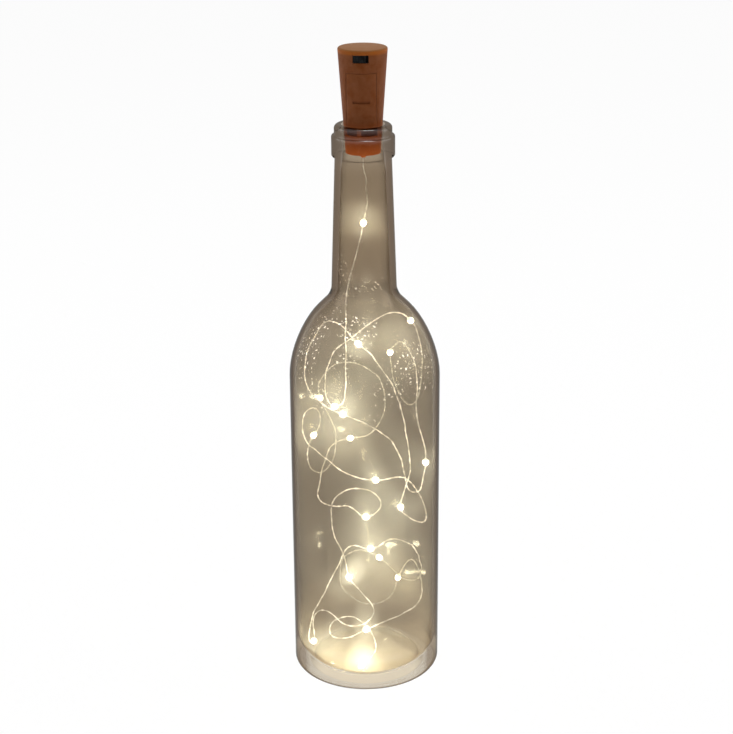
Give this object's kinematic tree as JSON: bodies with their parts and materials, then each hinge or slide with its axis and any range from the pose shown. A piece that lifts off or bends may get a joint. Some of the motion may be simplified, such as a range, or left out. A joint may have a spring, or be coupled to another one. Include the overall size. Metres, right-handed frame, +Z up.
{
  "type": "cork bottle light",
  "caption": "Clear glass wine bottle lit from inside by a silver wire string of tiny warm lights, hung from a cork-shaped stopper with a slide switch and a battery door.",
  "frame": {"origin": "centre of the ring that the bottle stands on, at floor level", "axes": "+Z up along the bottle; the switch and the battery door face -Y; +X is to the right seen from that side"},
  "size_m": [0.075, 0.075, 0.3226],
  "materials": {
    "clear_glass": "clear, lightly smoked",
    "cork_plastic": "matte moulded, cork brown",
    "tray_plastic": "matte moulded",
    "black_plastic": "matte moulded, black",
    "cell_steel": "bright nickel",
    "contact_metal": "nickel plated",
    "switch_metal": "pressed tinplate",
    "board": "green solder mask",
    "black_ceramic": "glazed black",
    "silver_wire": "bright silver plated",
    "led_resin": "clear resin, lit",
    "led_chip": "phosphor, lit"
  },
  "bodies": {
    "bottle": {"bottle": "clear_glass"},
    "stopper": {"stopper_shell": "cork_plastic", "battery_tray": "tray_plastic", "end_plug": "cork_plastic", "battery_cell_1": "cell_steel", "battery_cell_2": "cell_steel", "battery_cell_3": "cell_steel", "positive_contact": "contact_metal", "negative_contact": "contact_metal", "circuit_board": "board", "switch_case": "switch_metal", "resistor": "black_ceramic", "string_lead": "silver_wire", "string_wire": "silver_wire", "led_chips": "led_chip", "led_bead_01": "led_resin", "led_bead_02": "led_resin", "led_bead_03": "led_resin", "led_bead_04": "led_resin", "led_bead_05": "led_resin", "led_bead_06": "led_resin", "led_bead_07": "led_resin", "led_bead_08": "led_resin", "led_bead_09": "led_resin", "led_bead_10": "led_resin", "led_bead_11": "led_resin", "led_bead_12": "led_resin", "led_bead_13": "led_resin", "led_bead_14": "led_resin", "led_bead_15": "led_resin", "led_bead_16": "led_resin", "led_bead_17": "led_resin", "led_bead_18": "led_resin", "led_bead_19": "led_resin", "led_bead_20": "led_resin"},
    "battery_door": {"battery_door": "cork_plastic"},
    "switch_knob": {"switch_knob": "black_plastic"}
  },
  "joints": [
    {"name": "stopper_lift", "type": "slide", "parent": "bottle", "child": "stopper", "axis": [0, 0, 1], "range_m": [0, 0.03], "deforming": ["string_wire", "led_chips", "led_bead_01", "led_bead_02", "led_bead_03", "led_bead_04", "led_bead_05", "led_bead_06", "led_bead_07", "led_bead_08", "led_bead_09", "led_bead_10", "led_bead_11", "led_bead_12", "led_bead_13", "led_bead_14", "led_bead_15", "led_bead_16", "led_bead_17", "led_bead_18", "led_bead_19", "led_bead_20"]},
    {"name": "door_slide", "type": "slide", "parent": "stopper", "child": "battery_door", "axis": [0, 0.0696, -0.9976], "range_m": [0, 0.0037]},
    {"name": "switch_slide", "type": "slide", "parent": "stopper", "child": "switch_knob", "axis": [1, 0, 0], "range_m": [0, 0.0011]}
  ]
}
